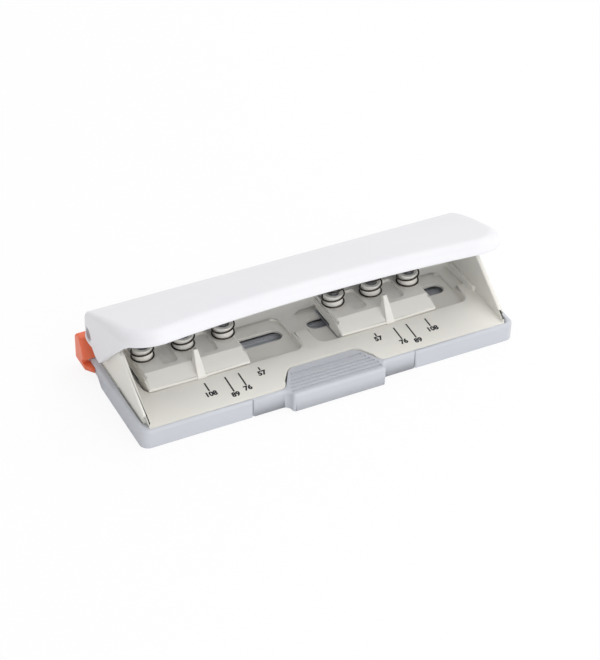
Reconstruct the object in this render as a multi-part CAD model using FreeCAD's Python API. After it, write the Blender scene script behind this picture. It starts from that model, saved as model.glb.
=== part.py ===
"""Six-hole desk punch: two sliding heads of three pins each under one hinged press handle.

Everything is drawn on the bench: x runs along the punch from its middle, y runs back from the
front face of the base, z runs up from the underside of the base. At the end each piece is moved
so that the origin is the middle of the underside of the base. Lengths are in millimetres.
"""
import FreeCAD, Part
import math
import os

Vector = FreeCAD.Vector

# Hole pattern of ring-binder paper
hole_pitch = 19.0
hole_diameter = 5.5
nearest_group = 28.5
right_head_at = 38.0
longest_sheet = 210.0
hole_margin = 6.2

# Clearances
slide_gap = 0.3
panel_gap = 0.15
running_gap = 0.05
thread_gap = 0.02
screw_hole_gap = 0.1
paper_gap = 1.2
joint_lap = 0.5
cut_past = 1.0

# Base
base_length = 180.6
base_depth = 62.8
base_corner = 4.0
base_edge_round = 1.6
base_floor = 1.0
front_wall = 1.5
rear_wall = 2.2
rim_wall = 2.85
rim_front_height = 9.0
rim_rear_height = 8.0
rim_step = 33.0
side_seam_depth = 0.45
side_seam_start = 7.8
side_seam_end = 30.6
side_seam_bottom = 4.0
door_round = 0.8

# Feet
foot_radius = 4.0
foot_height = 1.0
foot_socket_wall = 1.0
foot_inset = 20.3
front_foot_y = 10.0
rear_foot_inset = 9.8

# Deck frame
deck_front_step = 1.2
deck_front_notch = 6.0
deck_thickness = 1.8
deck_front_height = 8.95
deck_front_round = 1.0
deck_front_lip = 0.6
deck_land = 4.9
deck_land_height = 10.3
paper_height = 8.2
pocket_reach = 17.4
pocket_depth_y = 27.8
pocket_corner = 4.0
pocket_floor_height = 6.8
pocket_floor = 1.4
pocket_rim_round = 1.1
pocket_outer_play = 1.2
pocket_middle_play = 0.7
slot_width = 7.4
opening_corner = 4.5
opening_draw = 1.1

# Side walls and the ledges along their feet
side_wall = 2.0
wall_front = 3.0
wall_front_height = 10.4
wall_crest_set = 28.4
wall_crest_height = 28.5
wall_crest_run = 7.0
wall_crest_rise = 0.4
ear_radius = 4.6
ear_foot_rear = 1.0
ear_foot_rise = 3.1
ear_foot_front = 3.4
ledge_width = 1.6
ledge_height = 12.8
ledge_lead = 4.2
ledge_set = 5.9
ledge_round = 1.2
pocket_inset = 6.3

# Hinge
pivot_inset = 5.4
pivot_z = 21.6
pin_arm = 17.2
rod_radius = 2.9
rod_end_recess = 0.3
rod_end_round = 1.0
rod_seat_radius = 3.4
rod_seat_depth = 0.7
rod_room = 0.4
ring_radius = 4.3
ring_thickness = 0.6
ring_groove = 0.6
ring_fit = 0.03
ring_mouth = 3.2

# Handle, in its pressed position and measured from the hinge axis
press_angle = 17.5
handle_wall = 1.6
cheek_wall = 3.6
handle_front = 53.2
front_bow = 6.2
front_corner = 15.0
lip_height = 7.4
lip_rear = -46.0
cheek_foot = ((-38.7, 4.5), (-27.2, -1.0), (-11.6, -9.6), (-9.4, -10.6), (-5.6, -8.8), (-3.0, -5.4),
              (0.5, -4.9), (3.4, -3.7))
top_rear = (-2.0, 10.8)
top_middle = (-27.6, 13.7)
top_front = (-48.5, 13.8)
rear_top = (2.5, 5.0)
rear_low = (4.9, -1.5)
side_round_rear = 1.8
handle_edge_round = 5.5
handle_rear_round = 4.5
least_inner_round = 0.6
cross_rib_rise = 0.5
hub_x = 28.0
hub_length = 8.0
hub_wall = 1.4
ear_room = 0.6
ear_room_rear = 9.0
ear_room_below = 15.0

# Press plate under the handle
plate_thickness = 1.5
plate_width = 10.0
plate_end = 7.5
plate_rest_gap = 0.3
rail_thickness = 1.6
rail_inset = 0.4
rib_root = 0.7
plate_screw_pitch = 56.0
plate_screw_radius = 1.2
plate_screw_head = 2.4
plate_screw_sink = 1.0
plate_screw_length = 6.0
plate_screw_wall = 1.4
plate_screw_room = 0.2

# Punch heads
head_end = 4.2
head_flange = 0.6
head_flange_height = 14.0
head_flange_set = 1.0
head_flange_lead = 11.2
head_cap_depth = 5.2
head_reach = 18.5
head_front_edge = 11.7
head_slope_set = 11.1
head_height = 15.4
head_spine_set = 6.4
head_edge_round = 0.8
head_recess_depth = 1.3
head_recess_width = 7.4
head_recess_set = 8.8
head_recess_back = 5.8
head_recess_corner = 2.0
head_recess_round = 0.6
boss_radius = 4.4
boss_height = 21.2
boss_edge_round = 0.5
pointer_width = 2.0
pointer_foot_width = 4.4
pointer_round = 0.5
pointer_offset = 0.5
pointer_height = 21.6
pointer_set = 12.4
pointer_back = 11.4
pointer_lead = 0.5
pointer_tip_rise = 0.9
die_thickness = 1.3
die_clearance = 0.06

# Pins and springs
pin_tip_rest = 11.4
pin_top_rest = 31.5
pin_flange_radius = 5.7
pin_flange_thickness = 1.2
pin_dome_radius = 3.4
pin_dome_top = 1.2
pin_dome_height = 0.7
pin_tip_hollow = 0.6
pin_tip_wall = 0.5
pin_tip_centre = 0.4
spring_wire = 0.9
spring_radius = 5.15
spring_turns = 3.25
spring_tail_bend = 1.2

# Screws
small_shank = 1.0
small_head = 1.9
small_head_height = 0.6
clamp_screw_x = 15.5
clamp_screw_set = 11.7
clamp_screw_length = 5.6
clamp_bore_depth = 5.2
head_sink = 0.05
glide_shank = 1.5
glide_head = 4.6
glide_head_height = 0.9
case_shank = 1.2
case_head = 2.3
case_head_height = 1.2
case_head_sink = 0.3
case_hole_gap = 0.2
case_boss = 3.1
case_inset = 4.9
case_front_y = 10.5
case_rear_y = 41.0
case_joint_rise = 2.0
case_screw_bite = 2.6
case_bore_depth = 3.0

# Chip drawer with its ribbed pull pad
drawer_width = 79.0
drawer_depth = 44.0
drawer_floor = 1.0
drawer_wall = 1.2
drawer_height = 3.8
drawer_lift = 0.2
drawer_stop = 1.2
runner_front = 3.0
runner_width = 1.4
runner_lap = 0.5
runner_drop = 0.6
ramp_width = 10.0
ramp_drop = 0.5
pad_reach = 4.5
pad_front_width = 45.0
pad_shoulder_y = 4.0
pad_lean = 0.6
pad_rear_width = 34.8
pad_rear_y = 11.6
pad_crown_width = 30.0
pad_crown_y = 13.4
pad_neck_round = 3.0
pad_front_round = 1.5
pad_edge_round = 1.4
pad_plate = 2.1
pad_web_lap = 2.0
pad_grooves = 6
pad_groove_start = -1.65
pad_groove_pitch = 2.12
pad_groove_width = 1.1
pad_groove_depth = 0.5
pad_border = 0.9
pad_field_half = 16.8
pad_field_rear = 9.6
pad_field_flare = 0.5

# Paper guide
guide_overhang = 3.4
guide_lap = 2.5
guide_foot_height = 3.5
guide_jaw_height = 6.0
guide_top_height = 17.5
guide_jaw_lap = 6.2
guide_nose_lap = 10.8
guide_foot_depth = 5.0
guide_spine = 4.2
guide_rim_lap = 5.7
guide_top_lap = 1.4
guide_bevel = 2.0
guide_grip = 2.4
guide_bar_inset = 10.4
guide_bar_width = 6.4
guide_bar_bottom = 4.7
guide_bar_height = 1.2
guide_bar_end = 34.0
seat_width = 4.0
seat_lip = 1.6
seat_rise = 0.5
seat_gap = 0.1
outer_seat_inset = 22.0
inner_seat_inset = 6.0
relief_depth = 16.8
relief_rise = 4.0
relief_length = 12.0
relief_roof_lap = 0.6

half_base = base_length / 2
pivot_y = base_depth - pivot_inset
pin_line = pivot_y - pin_arm
pocket_front = pin_line - pocket_reach
deck_slope_end = pocket_front - deck_land
wall_crest_y = pivot_y - wall_crest_set
ledge_front = pocket_front + ledge_lead
ledge_rear = pivot_y - ledge_set
head_front = pin_line - head_reach
head_slope_end = pin_line - head_slope_set
head_spine_rear = pin_line - head_spine_set
clamp_screw_y = pin_line - clamp_screw_set
rim_inner = half_base - rim_wall
half_deck = rim_inner - panel_gap
deck_front_half = half_deck - deck_front_step
wall_inner = half_deck - side_wall
pocket_outer_x = wall_inner - pocket_inset
cheek_inner = half_deck + slide_gap
half_handle = cheek_inner + cheek_wall
head_half_width = hole_pitch + head_end
head_half = head_half_width + head_flange
left_head_at = pocket_outer_x - pocket_outer_play - head_half
pocket_inner_x = nearest_group - head_half - pocket_middle_play
half_plate = left_head_at + hole_pitch + plate_end
pin_radius = hole_diameter / 2
half_swing = math.radians(press_angle / 2)
pin_stroke = 2 * pin_arm * math.tan(half_swing)
stop_y = pin_line - hole_margin
wall_foot = paper_height + paper_gap
pocket_rear = pocket_front + pocket_depth_y
deck_under = paper_height - deck_thickness
die_bottom = paper_height - die_thickness
case_joint_height = base_floor + case_joint_rise
guide_reach = half_base + guide_overhang
guide_stop_x = half_base - guide_lap
guide_travel = longest_sheet / 2 - guide_stop_x
guide_front = base_depth - guide_jaw_lap
guide_rim_front = base_depth - guide_rim_lap
guide_bar_front = base_depth - guide_bar_inset
ring_start = wall_inner - slide_gap - ring_thickness
arc_share = 1 - math.sqrt(0.5)
feet_at = [(side * (half_base - foot_inset), y) for side in (-1, 1)
           for y in (front_foot_y, base_depth - rear_foot_inset)]
case_screws_at = [(side * (half_deck - case_inset), y) for side in (-1, 1)
                  for y in (case_front_y, case_rear_y)]
plate_screws_at = (-plate_screw_pitch, 0, plate_screw_pitch)


def block(x0, x1, y0, y1, z0, z1):
    return Part.makeBox(x1 - x0, y1 - y0, z1 - z0, Vector(x0, y0, z0))


def outline_face(steps, place):
    """Closed face from steps: a point is a straight run to it, a pair of points is an arc."""
    first = steps[0]
    last = place(*first)
    edges = []
    for step in steps[1:] + [first]:
        if isinstance(step[0], tuple):
            through, end = place(*step[0]), place(*step[1])
            edges.append(Part.Arc(last, through, end).toShape())
        else:
            end = place(*step)
            if end.distanceToPoint(last) < 1e-9:
                continue
            edges.append(Part.LineSegment(last, end).toShape())
        last = end
    return Part.Face(Part.Wire(edges))


def side_prism(steps, x0, x1):
    """Outline of y and z, carried from x0 to x1."""
    face = outline_face(steps, lambda y, z: Vector(x0, y, z))
    return face.extrude(Vector(x1 - x0, 0, 0))


def plan_prism(steps, z0, z1):
    """Outline of x and y, carried from z0 to z1."""
    face = outline_face(steps, lambda x, y: Vector(x, y, z0))
    return face.extrude(Vector(0, 0, z1 - z0))


def front_prism(steps, y0, y1):
    """Outline of x and z, carried from y0 to y1."""
    face = outline_face(steps, lambda x, z: Vector(x, y0, z))
    return face.extrude(Vector(0, y1 - y0, 0))


def rounded_plan(x0, x1, y0, y1, radius, z0, z1):
    shape = block(x0, x1, y0, y1, z0, z1)
    upright = [e for e in shape.Edges if abs(e.tangentAt(e.FirstParameter).z) > 0.99]
    return shape.makeFillet(radius, upright)


def post(x, y, z0, z1, radius):
    return Part.makeCylinder(radius, z1 - z0, Vector(x, y, z0), Vector(0, 0, 1))


def bar_x(x0, x1, y, z, radius):
    return Part.makeCylinder(radius, x1 - x0, Vector(x0, y, z), Vector(1, 0, 0))


def joined(shapes):
    return shapes[0].multiFuse(shapes[1:]).removeSplitter()


def mirrored(shape):
    return shape.mirror(Vector(0, 0, 0), Vector(1, 0, 0))


def both_sides(shape):
    return [shape, mirrored(shape)]


def rim_block(height, y0, y1):
    """Length of the base between y0 and y1 with its rounded outer edge at the given height."""
    shape = rounded_plan(-half_base, half_base, 0, base_depth, base_corner, 0, height)
    upper = [e for e in shape.Edges if e.BoundBox.ZMin > height - base_edge_round]
    return shape.makeFillet(base_edge_round, upper).common(block(-half_base, half_base, y0, y1, 0, height))


def drawer_door():
    """Opening for the drawer's front, with rounded edges to both sides of it."""
    half = drawer_width / 2
    outer = half + door_round
    bend = door_round * arc_share
    return plan_prism([(-outer, -cut_past), (-outer, 0), ((-half - bend, bend), (-half, door_round)),
                       (-half, front_wall + panel_gap), (half, front_wall + panel_gap), (half, door_round),
                       ((half + bend, bend), (outer, 0)), (outer, -cut_past)],
                      -cut_past, rim_front_height + cut_past)


def guide_relief():
    """Hollow under the left rear corner for the guide's lower jaw, and the roof above it."""
    end = -half_base + relief_length
    start = base_depth - relief_depth
    rear = start + relief_rise
    roof_rear = base_depth - rear_wall
    roof = side_prism([(start - relief_roof_lap, base_floor),
                       (rear - relief_roof_lap, guide_foot_height + base_floor),
                       (roof_rear, guide_foot_height + base_floor), (roof_rear, base_floor)],
                      -rim_inner, end + base_floor)
    hollow = side_prism([(start, -cut_past), (start, 0), (rear, guide_foot_height),
                         (base_depth + cut_past, guide_foot_height), (base_depth + cut_past, -cut_past)],
                        -half_base - cut_past, end)
    return roof, hollow


def base_tray():
    body = joined([rim_block(rim_front_height, 0, rim_step),
                   rim_block(rim_rear_height, rim_step, base_depth)])
    body = body.cut(block(-rim_inner, rim_inner, front_wall, base_depth - rear_wall,
                          base_floor, rim_front_height + cut_past))
    corner = block(deck_front_half + panel_gap, rim_inner, front_wall,
                   deck_front_notch - panel_gap, base_floor, rim_front_height)
    runner_x = drawer_width / 2 - runner_lap
    runner = block(runner_x, runner_x + runner_width, runner_front, drawer_depth,
                   base_floor, drawer_height - runner_drop)
    ramp = front_prism([(runner_x + runner_width, base_floor), (pocket_outer_x, base_floor),
                        (pocket_outer_x, drawer_height - ramp_drop)],
                       pin_line - ramp_width / 2, pin_line + ramp_width / 2)
    additions = []
    for piece in (corner, runner, ramp):
        additions += both_sides(piece)
    stop = drawer_depth + slide_gap
    additions.append(block(-drawer_width / 2, drawer_width / 2, stop, stop + drawer_stop,
                           base_floor, drawer_height))
    for x, y in case_screws_at:
        additions.append(post(x, y, base_floor, case_joint_height, case_boss))
    for x, y in feet_at:
        additions.append(post(x, y, base_floor / 2, foot_height + base_floor,
                              foot_radius + foot_socket_wall))
    bar_rear = guide_bar_front + guide_bar_width
    for x in (-half_base + outer_seat_inset, -guide_bar_end - inner_seat_inset):
        seat = block(x, x + seat_width, guide_bar_front - seat_lip, base_depth - rear_wall,
                     base_floor, guide_bar_bottom + seat_rise)
        groove = block(x - cut_past, x + seat_width + cut_past, guide_bar_front - panel_gap,
                       bar_rear + panel_gap, guide_bar_bottom - seat_gap, guide_bar_bottom + seat_width)
        additions.append(seat.cut(groove))
    roof, hollow = guide_relief()
    body = joined([body, roof] + additions)
    seam = block(rim_inner - panel_gap, rim_inner + side_seam_depth, side_seam_start, side_seam_end,
                 side_seam_bottom, rim_front_height + cut_past)
    window = block(-half_base - cut_past, -rim_inner + cut_past, guide_bar_front - slide_gap,
                   bar_rear + slide_gap, guide_bar_bottom - 2 * seat_gap, guide_jaw_height + slide_gap)
    cuts = both_sides(seam) + [hollow, window, drawer_door()]
    for x, y in case_screws_at:
        cuts.append(post(x, y, -cut_past, case_joint_height + cut_past, case_shank + case_hole_gap))
        cuts.append(post(x, y, -cut_past, case_head_height + case_head_sink, case_head + case_hole_gap))
    for x, y in feet_at:
        cuts.append(post(x, y, -cut_past, foot_height, foot_radius + panel_gap))
    return body.cut(Part.makeCompound(cuts))


def rubber_feet():
    return Part.makeCompound([post(x, y, 0, foot_height, foot_radius) for x, y in feet_at])


def headed_screw(x, y, z, shank, head, head_height, length):
    """Screw with the underside of its head at height z, pointing up."""
    return joined([post(x, y, z, z + head_height, head), post(x, y, z, z + length, shank)])


def case_screws():
    return Part.makeCompound([headed_screw(x, y, case_head_sink, case_shank, case_head,
                                           case_head_height, case_joint_height + case_screw_bite)
                              for x, y in case_screws_at])


def side_wall_shape():
    """Side wall with the ear that carries the hinge rod, open below the ear for the paper."""
    profile = [(wall_front, deck_under), (wall_front, wall_front_height), (wall_crest_y, wall_crest_height),
               (wall_crest_y + wall_crest_run, wall_crest_height + wall_crest_rise),
               (pivot_y, pivot_z + ear_radius), (pivot_y + ear_radius, pivot_z),
               (pivot_y + ear_foot_rear, wall_foot + ear_foot_rise), (pivot_y - ear_foot_front, wall_foot),
               (stop_y, wall_foot), (stop_y, deck_under)]
    wall = side_prism(profile, wall_inner, half_deck)
    ear = bar_x(wall_inner, half_deck, pivot_y, pivot_z, ear_radius)
    bend = ledge_round * arc_share
    ledge = side_prism([(ledge_front, deck_under), (ledge_front, ledge_height - ledge_round),
                        ((ledge_front + bend, ledge_height - bend),
                         (ledge_front + ledge_round, ledge_height)),
                        (ledge_rear, ledge_height), (ledge_rear, wall_foot), (stop_y, wall_foot),
                        (stop_y, deck_under)], wall_inner - ledge_width, wall_inner + joint_lap)
    return joined([wall, ear, ledge])


def pocket_rims(deck):
    """Upper edges of the pockets in front of the paper stop."""
    rims = []
    for edge in deck.Edges:
        box = edge.BoundBox
        on_land = box.ZMax - box.ZMin < 0.01 and abs(box.ZMin - deck_land_height) < 0.01
        along_pocket = box.YMin > pocket_front - 0.1 and box.YMin < stop_y - 0.1
        reach = max(abs(box.XMin), abs(box.XMax))
        if on_land and along_pocket and reach < pocket_outer_x + 0.1:
            rims.append(edge)
    return rims


def deck_frame():
    front = front_wall + panel_gap
    land_under = deck_land_height - deck_thickness
    rear = base_depth - rear_wall - panel_gap
    plate = side_prism([(front, deck_front_height - deck_thickness - deck_front_lip),
                        (front, deck_front_height - deck_front_round),
                        (front + deck_front_round, deck_front_height), (deck_slope_end, deck_land_height),
                        (stop_y, deck_land_height), (stop_y, paper_height), (rear, paper_height),
                        (rear, deck_under), (stop_y - deck_thickness, deck_under),
                        (stop_y - deck_thickness, land_under), (deck_slope_end, land_under)],
                       -half_deck, half_deck)
    tub_under = pocket_floor_height - pocket_floor
    tub_front = pocket_front - pocket_floor
    tub_rear = pocket_rear + pocket_floor
    tub = side_prism([(tub_front, tub_under), (tub_front, deck_land_height), (stop_y, deck_land_height),
                      (stop_y, paper_height), (tub_rear, paper_height), (tub_rear, tub_under)],
                     pocket_inner_x - pocket_floor, pocket_outer_x + pocket_floor)
    solids = [plate] + both_sides(tub) + both_sides(side_wall_shape())
    for x, y in case_screws_at:
        solids.append(post(x, y, case_joint_height, paper_height - joint_lap, case_boss))
    body = joined(solids)
    pocket = rounded_plan(pocket_inner_x, pocket_outer_x, pocket_front, pocket_rear, pocket_corner,
                          pocket_floor_height, deck_land_height + cut_past)
    slot_end = slot_width / 2
    slot_top = pocket_floor_height + cut_past
    nearest = nearest_group - hole_pitch - pin_radius - slide_gap + slot_end
    farthest = left_head_at + hole_pitch + pin_radius + slide_gap - slot_end
    slot = joined([block(nearest, farthest, pin_line - slot_end, pin_line + slot_end, 0, slot_top),
                   post(nearest, pin_line, 0, slot_top, slot_end),
                   post(farthest, pin_line, 0, slot_top, slot_end)])
    notch = block(deck_front_half, half_deck + cut_past, 0, deck_front_notch, 0, wall_crest_height)
    cuts = both_sides(pocket) + both_sides(slot) + both_sides(notch)
    cuts.append(plan_prism(pad_opening(), 0, wall_crest_height))
    cuts.append(bar_x(-half_deck - cut_past, half_deck + cut_past, pivot_y, pivot_z,
                      rod_radius + running_gap))
    for x, y in case_screws_at:
        cuts.append(post(x, y, case_joint_height - cut_past, case_joint_height + case_bore_depth,
                         case_shank + thread_gap))
    body = body.cut(Part.makeCompound(cuts))
    return body.makeFillet(pocket_rim_round, pocket_rims(body))


def hinge_rod():
    half = half_handle - rod_end_recess
    rod = bar_x(-half, half, pivot_y, pivot_z, rod_radius)
    rod = rod.makeFillet(rod_end_round, [e for e in rod.Edges if e.Closed])
    groove = bar_x(ring_start, ring_start + ring_thickness, pivot_y, pivot_z, rod_radius + cut_past)
    core = bar_x(ring_start, ring_start + ring_thickness, pivot_y, pivot_z, rod_radius - ring_groove)
    return rod.cut(Part.makeCompound(both_sides(groove.cut(core))))


def rod_rings():
    """Open retaining rings in the rod's grooves, just inside the side walls."""
    disc = bar_x(ring_start + ring_fit, ring_start + ring_thickness - ring_fit, pivot_y, pivot_z,
                 ring_radius)
    core = bar_x(ring_start, ring_start + ring_thickness, pivot_y, pivot_z,
                 rod_radius - ring_groove + ring_fit)
    mouth = block(ring_start, ring_start + ring_thickness, pivot_y - ring_mouth / 2,
                  pivot_y + ring_mouth / 2, pivot_z, pivot_z + ring_radius + cut_past)
    return Part.makeCompound(both_sides(disc.cut(core).cut(mouth)))


def plate_line(y, height=0.0):
    """Height of the press plate's underside at y, from the hinge axis, handle pressed."""
    underside = pin_top_rest + plate_rest_gap - pivot_z
    mid_height = (underside - pin_arm * math.tan(half_swing)) * math.cos(half_swing)
    return (mid_height + height) / math.cos(half_swing) + y * math.tan(half_swing)


def raised(shape):
    """Puts a piece drawn about the hinge axis, handle pressed, into the raised rest position."""
    turned = shape.copy()
    turned.rotate(Vector(0, 0, 0), Vector(1, 0, 0), -press_angle)
    turned.translate(Vector(0, pivot_y, pivot_z))
    return turned


def top_arc():
    """Centre and radius of the handle's crowned top, an arc through three points of its side view."""
    (ax, ay), (bx, by), (cx, cy) = top_rear, top_middle, top_front
    a, b, c = ax * ax + ay * ay, bx * bx + by * by, cx * cx + cy * cy
    scale = 2 * (ax * (by - cy) + bx * (cy - ay) + cx * (ay - by))
    y = (a * (by - cy) + b * (cy - ay) + c * (ay - by)) / scale
    z = (a * (cx - bx) + b * (ax - cx) + c * (bx - ax)) / scale
    return y, z, math.hypot(ax - y, ay - z)


top_y, top_z, top_radius = top_arc()
crown_reach = 30.0
crown_rear = 20.0


def top_height(y, inset=0.0):
    return top_z + math.sqrt((top_radius - inset) ** 2 - (y - top_y) ** 2)


def rear_line(inset):
    """Point where the rear face meets the top arc, and the direction down the rear face."""
    down = Vector(0, rear_low[0] - rear_top[0], rear_low[1] - rear_top[1]).normalize()
    point = Vector(0, rear_top[0], rear_top[1]) - Vector(0, -down.z, down.y) * inset
    centre = Vector(0, top_y, top_z)
    run = (centre - point).dot(down)
    foot = point + down * run
    reach = math.sqrt((top_radius - inset) ** 2 - foot.distanceToPoint(centre) ** 2)
    return foot - down * reach, down


def handle_plan(inset):
    """Plan of the handle: round front corners that run smoothly into a drawn-in front edge."""
    half = half_handle - inset
    front = -handle_front + inset
    corner = front_corner - inset
    side = half - corner
    reach = (side ** 2 + front_bow ** 2) / (2 * front_bow)
    turn = math.atan2(side, reach - front_bow)
    bend = corner * math.sqrt(0.5)
    meet = (side - corner * math.sin(turn), front + corner - corner * math.cos(turn))
    steps = [(-half, crown_rear), (-half, front + corner),
             ((-side - bend, front + corner - bend), (-meet[0], meet[1])),
             ((0, front + front_bow), meet),
             ((side + bend, front + corner - bend), (half, front + corner)), (half, crown_rear)]
    return plan_prism(steps, -crown_reach, crown_reach)


def handle_crown(inset):
    """Smooth outer form of the handle, or its hollow when inset by the wall."""
    front = -handle_front + inset - cut_past
    corner, down = rear_line(inset)
    low = corner + down * crown_reach
    middle = (top_middle[0], top_height(top_middle[0], inset))
    form = side_prism([(front, low.z), (front, top_height(front, inset)), (middle, (corner.y, corner.z)),
                       (low.y, low.z)], -half_handle - cut_past, 0)
    form = form.common(handle_plan(inset))
    back = [e for e in form.Edges if e.BoundBox.XLength > hub_x and e.BoundBox.YLength < 0.01
            and e.CenterOfMass.z > rear_top[1]]
    form = form.makeFillet(handle_rear_round - inset, back)
    side = [e for e in form.Edges if e.BoundBox.XLength < 0.01 and e.BoundBox.YLength > hub_x
            and e.CenterOfMass.x < -hub_x and e.CenterOfMass.z > rear_top[1]]
    form = form.makeFillet(handle_edge_round - inset, max(side_round_rear - inset, least_inner_round), side)
    return joined(both_sides(form))


def along_plate(x, low, high, radius):
    """Round bar square to the press plate, from low to high above the plate's underside."""
    square = Vector(0, -math.sin(half_swing), math.cos(half_swing))
    start = Vector(x, -pin_arm, plate_line(-pin_arm)) + square * low
    return Part.makeCylinder(radius, high - low, start, square)


def handle_ribs():
    """Rails and posts that back the press plate, ribs to the front lip, and the two rod hubs."""
    plate_front = -pin_arm - plate_width / 2
    plate_rear = -pin_arm + plate_width / 2
    ribs = []
    for y in (plate_front + rail_inset, plate_rear - rail_thickness - rail_inset):
        rear = y + rail_thickness
        ribs.append(side_prism([(y, plate_line(y, plate_thickness)), (y, crown_reach), (rear, crown_reach),
                                (rear, plate_line(rear, plate_thickness))], -half_plate, half_plate))
    for x in plate_screws_at:
        ribs.append(along_plate(x, plate_thickness, crown_reach / 2, plate_screw_radius + plate_screw_wall))
        ribs.append(block(x - rail_thickness / 2, x + rail_thickness / 2, -handle_front,
                          plate_front + rail_inset + joint_lap, lip_height + cross_rib_rise, crown_reach))
    for x in (-hub_x, hub_x):
        left = x - hub_length / 2
        ribs.append(bar_x(left, left + hub_length, 0, 0, rod_radius + hub_wall))
        ribs.append(block(left, left + hub_length, -rod_radius, rod_radius - hub_wall, 0, crown_reach))
    return joined(ribs).common(handle_crown(rib_root))


def handle_shell():
    skirt = [(-handle_front - cut_past, lip_height), (lip_rear, lip_height)] + list(cheek_foot)
    skirt += [rear_low, (crown_rear, rear_low[1]), (crown_rear, crown_reach),
              (-handle_front - cut_past, crown_reach)]
    hollow = handle_crown(handle_wall).common(block(-cheek_inner, cheek_inner, -handle_front, crown_rear,
                                                    -crown_reach, crown_reach))
    shell = handle_crown(0).common(side_prism(skirt, -half_handle, half_handle)).cut(hollow)
    rings_end = ring_start - slide_gap
    cuts = both_sides(bar_x(rings_end, cheek_inner, 0, 0, ear_radius + ear_room))
    cuts += both_sides(block(rings_end, cheek_inner, -ear_radius - ear_room, ear_room_rear,
                             -ear_room_below, 0))
    cuts += both_sides(bar_x(half_handle - rod_seat_depth, half_handle + cut_past, 0, 0, rod_seat_radius))
    cuts.append(bar_x(-half_handle - cut_past, half_handle + cut_past, 0, 0, rod_radius + running_gap))
    hub_inner = hub_x - hub_length / 2
    hub_outer = hub_x + hub_length / 2
    for start, end in ((-rings_end, -hub_outer), (-hub_inner, hub_inner), (hub_outer, rings_end)):
        cuts.append(bar_x(start, end, 0, 0, rod_radius + rod_room))
    for x in plate_screws_at:
        cuts.append(along_plate(x, 0, plate_screw_length + plate_screw_room,
                                plate_screw_radius + thread_gap))
    return raised(joined([shell, handle_ribs()]).cut(Part.makeCompound(cuts)))


def screw_cone(x, grow):
    """Cone of a sunk screw head that opens to the press plate's underside."""
    square = Vector(0, -math.sin(half_swing), math.cos(half_swing))
    start = Vector(x, -pin_arm, plate_line(-pin_arm)) - square * grow
    return Part.makeCone(plate_screw_head + 2 * grow, plate_screw_radius + grow, plate_screw_sink + grow,
                         start, square)


def press_plate():
    front = -pin_arm - plate_width / 2
    rear = -pin_arm + plate_width / 2
    strip = side_prism([(front, plate_line(front)), (front, plate_line(front, plate_thickness)),
                        (rear, plate_line(rear, plate_thickness)), (rear, plate_line(rear))],
                       -half_plate, half_plate)
    holes = []
    for x in plate_screws_at:
        holes.append(along_plate(x, -cut_past, plate_thickness + cut_past,
                                 plate_screw_radius + screw_hole_gap))
        holes.append(screw_cone(x, screw_hole_gap))
    return raised(strip.cut(Part.makeCompound(holes)))


def plate_screws():
    screws = [joined([screw_cone(x, 0), along_plate(x, 0, plate_screw_length, plate_screw_radius)])
              for x in plate_screws_at]
    return raised(Part.makeCompound(screws))


def head_body(centre):
    """Middle of a head between its flanges, with softly rounded front, slope and ends."""
    foot = deck_land_height + slide_gap
    profile = [(head_front, foot), (head_front, head_front_edge), (head_slope_end, head_height),
               (pocket_rear - slide_gap, head_height), (pocket_rear - slide_gap, wall_foot),
               (head_spine_rear, wall_foot), (head_spine_rear, paper_height),
               (pocket_front + slide_gap, paper_height), (pocket_front + slide_gap, foot)]
    body = side_prism(profile, centre - head_half_width, centre + head_half_width)
    soft = []
    for edge in body.Edges:
        box = edge.BoundBox
        across = box.XLength > head_half_width
        if across and (box.ZMin > head_height - 0.01 and box.YMax < head_slope_end + 0.01
                       or abs(box.ZMin - head_front_edge) < 0.01):
            soft.append(edge)
        elif not across and box.ZMax > head_front_edge - 0.01 and box.ZMin > foot - 0.01:
            soft.append(edge)
    return body.makeFillet(head_edge_round, soft)


def head_cap(centre):
    """Front of a head, which runs the whole width and closes the ends of the flanges."""
    low = deck_land_height + slide_gap
    rear = head_front + head_cap_depth
    slope = (head_height - head_front_edge) / (head_slope_end - head_front)
    cap = side_prism([(head_front, low), (head_front, head_front_edge),
                      (rear, head_front_edge + slope * head_cap_depth), (rear, low)],
                     centre - head_half, centre + head_half)
    soft = [e for e in cap.Edges if e.BoundBox.ZMax > head_front_edge - 0.01 and e.BoundBox.ZMin > low - 0.01
            and (e.BoundBox.XLength < 0.01 or e.BoundBox.ZMax < head_front_edge + 0.01)
            and e.BoundBox.YMin < rear - 0.01]
    return cap.makeFillet(head_edge_round, soft)


def head_pointer(centre):
    """Tapered fin in front of the middle pin, which points at the setting marks."""
    low = deck_land_height + slide_gap
    tip = head_front - pointer_lead
    top = pin_line - pointer_set
    half = pointer_width / 2
    foot_half = pointer_foot_width / 2
    middle = centre + pointer_offset
    side = side_prism([(tip, low), (tip, low + pointer_tip_rise), (top, pointer_height),
                       (pin_line - pointer_back, pointer_height), (pin_line - pointer_back, low)],
                      middle - foot_half, middle + foot_half)
    taper = front_prism([(middle - foot_half, low), (middle - half, pointer_height),
                         (middle + half, pointer_height), (middle + foot_half, low)],
                        tip - cut_past, pin_line)
    fin = side.common(taper)
    upper = [e for e in fin.Edges if e.BoundBox.ZMax > pointer_height - 0.01
             and e.BoundBox.YMin < pin_line - pointer_back - 0.01]
    return fin.makeFillet(pointer_round, upper)


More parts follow.
